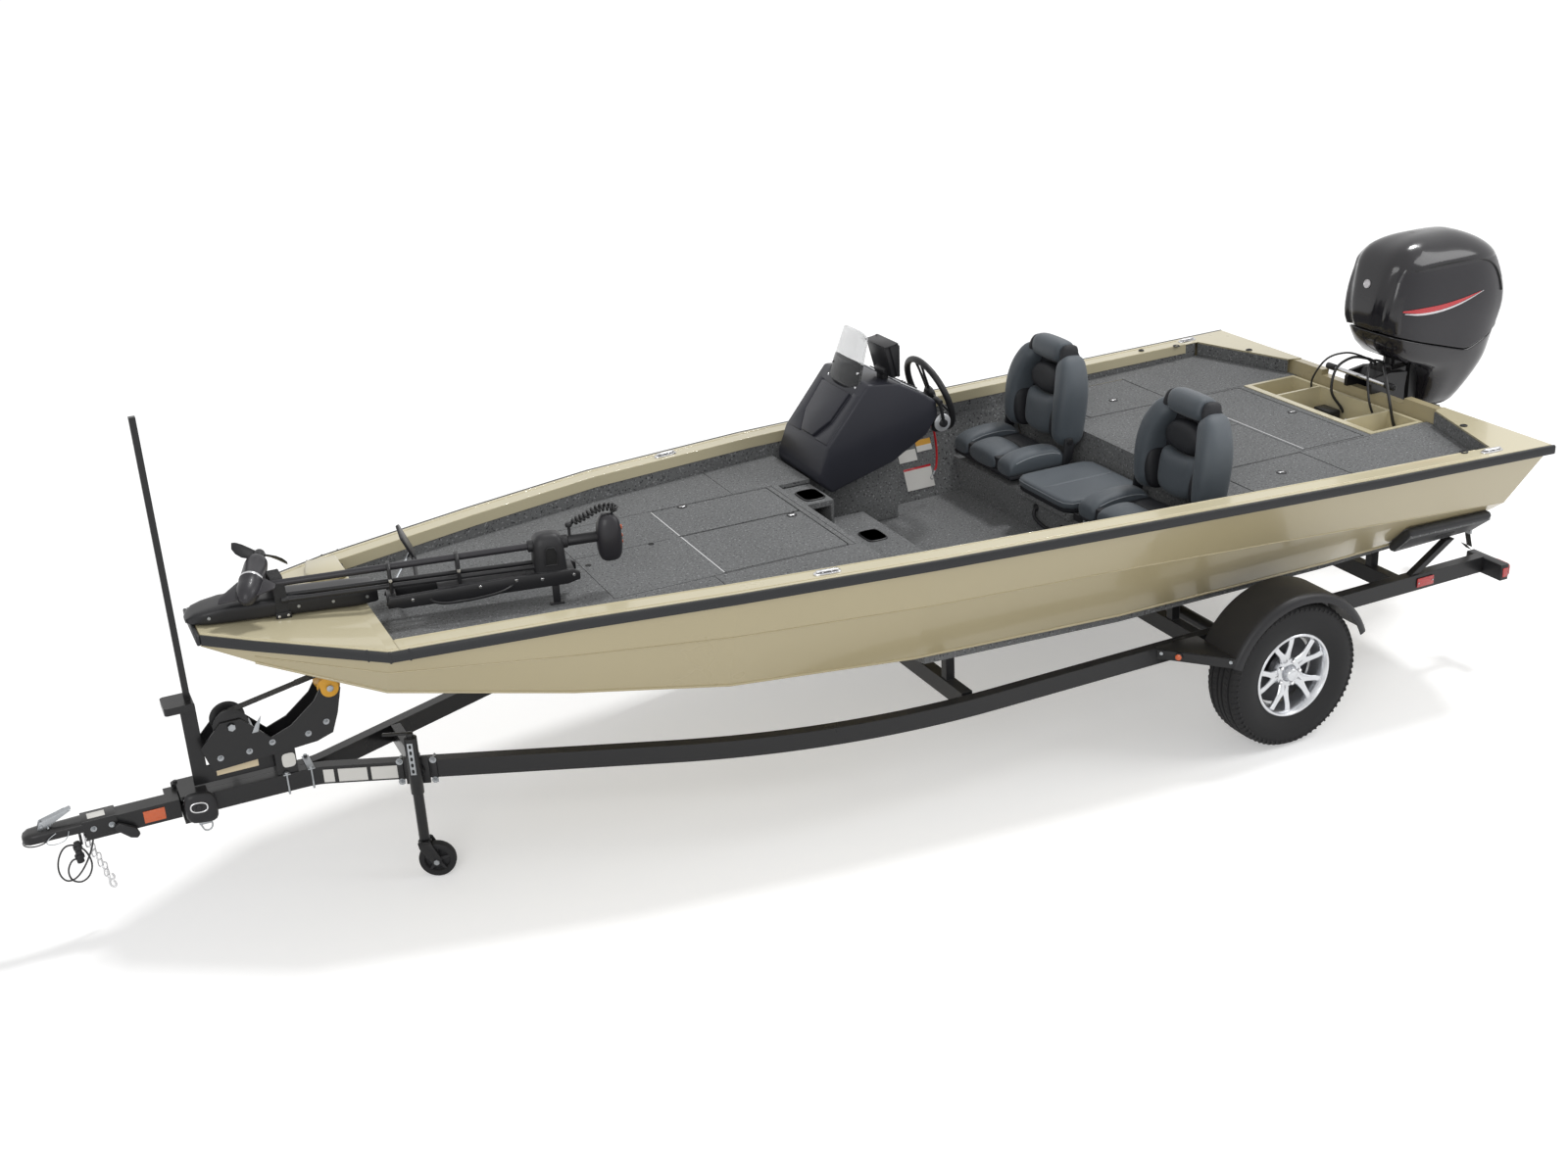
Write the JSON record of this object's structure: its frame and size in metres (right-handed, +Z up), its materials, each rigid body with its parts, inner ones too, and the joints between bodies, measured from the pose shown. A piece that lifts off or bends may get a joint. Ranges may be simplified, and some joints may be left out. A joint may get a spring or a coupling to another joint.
{
  "type": "bass boat on road trailer",
  "caption": "Open aluminium bass boat with outboard, console, folding seats and bow trolling motor, held on a single-axle road trailer with folding tongue and jack.",
  "frame": {"origin": "middle of the object's bounding box in plan, on the floor under the tyres and the jack wheel", "axes": "+X forward towards the coupler, +Y to port, +Z up"},
  "size_m": [7.1638, 2.344, 2.0005],
  "materials": {
    "hull_tan": "gloss",
    "rubber_black": "matt",
    "carpet_grey": "speckled carpet",
    "frame_black": "satin",
    "plastic_black": "satin",
    "cowl_black": "gloss",
    "cast_metal": "cast",
    "tyre": "matt",
    "alloy": "bright machined",
    "vinyl_grey": "satin vinyl",
    "console_charcoal": "satin",
    "screen_smoke": "smoked",
    "lamp_red": "gloss",
    "bright_steel": "satin",
    "roller_yellow": "satin",
    "webbing_black": "woven"
  },
  "bodies": {
    "frame": {"hull": "hull_tan", "gunwale_caps": "hull_tan", "bow_plate": "hull_tan", "stern_quarters": "hull_tan", "splash_well": "hull_tan", "rub_rail": "rubber_black", "front_deck": "carpet_grey", "rear_deck": "carpet_grey", "side_liners": "carpet_grey", "cockpit_floor": "carpet_grey", "seat_box": "carpet_grey", "bunks": "carpet_grey", "rail_left": "frame_black", "rail_right": "frame_black", "crossmembers": "frame_black", "axle": "frame_black", "tongue_hinge": "frame_black", "jack_mount": "frame_black", "winch_stand": "frame_black", "step_pole": "frame_black", "transom_clamp": "frame_black", "fenders": "plastic_black", "dashboard": "plastic_black", "trolling_mount": "plastic_black", "trolling_unit": "plastic_black", "seat_bottoms": "vinyl_grey", "console": "console_charcoal", "windscreen": "screen_smoke", "lamps": "lamp_red", "cleats": "bright_steel", "hatch_hinges": "bright_steel", "winch_strap": "webbing_black"},
    "wheel_left": {"tyre_left": "tyre", "rim_left": "alloy"},
    "wheel_right": {"tyre_right": "tyre", "rim_right": "alloy"},
    "jack": {"jack_leg": "frame_black"},
    "caster": {"jack_fork": "frame_black"},
    "jack_wheel": {"jack_wheel": "rubber_black"},
    "tongue": {"tongue_beam": "frame_black", "coupler": "frame_black"},
    "winch_drum": {"winch_drum": "bright_steel"},
    "bow_roller": {"bow_roller": "roller_yellow"},
    "tilt": {"swivel_bracket": "frame_black"},
    "motor": {"motor_leg": "frame_black", "lower_cowl": "cowl_black", "upper_cowl": "cowl_black", "powerhead": "cast_metal"},
    "propeller": {"propeller": "frame_black"},
    "helm": {"helm_wheel": "plastic_black"},
    "seat_back_left": {"seat_back_left": "vinyl_grey"},
    "seat_back_right": {"seat_back_right": "vinyl_grey"},
    "centre_lid": {"centre_cushion": "vinyl_grey"},
    "hatch_bow_centre": {"hatch_bow_centre": "carpet_grey"},
    "hatch_bow_port": {"hatch_bow_port": "carpet_grey"},
    "hatch_aft_centre": {"hatch_aft_centre": "carpet_grey"},
    "hatch_aft_port": {"hatch_aft_port": "carpet_grey"},
    "hatch_aft_starboard": {"hatch_aft_starboard": "carpet_grey"},
    "trolling_propeller": {"trolling_propeller": "plastic_black"}
  },
  "joints": [
    {"name": "wheel_left_spin", "type": "hinge", "parent": "frame", "child": "wheel_left", "pos_m": [-1.472, 1.06, 0.333], "axis": [0, 1, 0], "continuous": true},
    {"name": "wheel_right_spin", "type": "hinge", "parent": "frame", "child": "wheel_right", "pos_m": [-1.472, -1.06, 0.333], "axis": [0, 1, 0], "continuous": true},
    {"name": "jack_swing", "type": "hinge", "parent": "frame", "child": "jack", "pos_m": [2.12, 0.21096, 0.45], "axis": [0.4027, 0.9153, 0], "range_deg": [0, 90]},
    {"name": "caster_swivel", "type": "hinge", "parent": "jack", "child": "caster", "pos_m": [2.14215, 0.26131, 0.162], "axis": [0, 0, 1], "continuous": true},
    {"name": "jack_wheel_spin", "type": "hinge", "parent": "caster", "child": "jack_wheel", "pos_m": [2.1037, 0.27822, 0.075], "axis": [0.4027, 0.9153, 0], "continuous": true},
    {"name": "tongue_swing", "type": "hinge", "parent": "frame", "child": "tongue", "pos_m": [3.002, -0.078, 0.449], "axis": [0, 0, -1], "range_deg": [0, 150]},
    {"name": "winch_turn", "type": "hinge", "parent": "frame", "child": "winch_drum", "pos_m": [2.77, 0, 0.745], "axis": [0, 1, 0], "continuous": true},
    {"name": "bow_roller_turn", "type": "hinge", "parent": "frame", "child": "bow_roller", "pos_m": [2.3825, 0, 0.814], "axis": [0, 1, 0], "continuous": true},
    {"name": "motor_tilt", "type": "hinge", "parent": "frame", "child": "tilt", "pos_m": [-2.86, 0, 1.15], "axis": [0, 1, 0], "range_deg": [0, 62]},
    {"name": "motor_steer", "type": "hinge", "parent": "tilt", "child": "motor", "pos_m": [-2.955, 0, 0.945], "axis": [0, 0, 1], "range_deg": [-30, 30]},
    {"name": "propeller_spin", "type": "hinge", "parent": "motor", "child": "propeller", "pos_m": [-3.426, 0, 0.4], "axis": [1, 0, 0], "continuous": true},
    {"name": "helm_turn", "type": "hinge", "parent": "frame", "child": "helm", "pos_m": [-0.68, -0.58, 1.3], "axis": [0.9397, 0, -0.342], "range_deg": [-540, 540]},
    {"name": "seat_back_left_fold", "type": "hinge", "parent": "frame", "child": "seat_back_left", "pos_m": [-1.266, 0.54, 1.03], "axis": [0, 1, 0], "range_deg": [0, 75]},
    {"name": "seat_back_right_fold", "type": "hinge", "parent": "frame", "child": "seat_back_right", "pos_m": [-1.266, -0.54, 1.03], "axis": [0, 1, 0], "range_deg": [0, 75]},
    {"name": "centre_lid_open", "type": "hinge", "parent": "frame", "child": "centre_lid", "pos_m": [-1.344, 0, 0.95], "axis": [0, -1, 0], "range_deg": [0, 85]},
    {"name": "hatch_bow_centre_open", "type": "hinge", "parent": "frame", "child": "hatch_bow_centre", "pos_m": [0.808, -0.284, 1.05], "axis": [0, 1, 0], "range_deg": [0, 85]},
    {"name": "hatch_bow_port_open", "type": "hinge", "parent": "frame", "child": "hatch_bow_port", "pos_m": [0.808, 0.122, 1.05], "axis": [0, 1, 0], "range_deg": [0, 85]},
    {"name": "hatch_aft_centre_open", "type": "hinge", "parent": "frame", "child": "hatch_aft_centre", "pos_m": [-2.06, 0, 1.05], "axis": [0, 1, 0], "range_deg": [0, 85]},
    {"name": "hatch_aft_port_open", "type": "hinge", "parent": "frame", "child": "hatch_aft_port", "pos_m": [-1.765, 0.9, 1.05], "axis": [-1, 0, 0], "range_deg": [0, 85]},
    {"name": "hatch_aft_starboard_open", "type": "hinge", "parent": "frame", "child": "hatch_aft_starboard", "pos_m": [-1.765, -0.9, 1.05], "axis": [1, 0, 0], "range_deg": [0, 85]},
    {"name": "trolling_propeller_spin", "type": "hinge", "parent": "frame", "child": "trolling_propeller", "pos_m": [2.54029, -0.07336, 1.36485], "axis": [-0.4056, -0.8619, 0.3042], "continuous": true}
  ],
  "couplings": [
    {"joint": "helm_turn", "follows": "motor_steer", "ratio": 18}
  ]
}
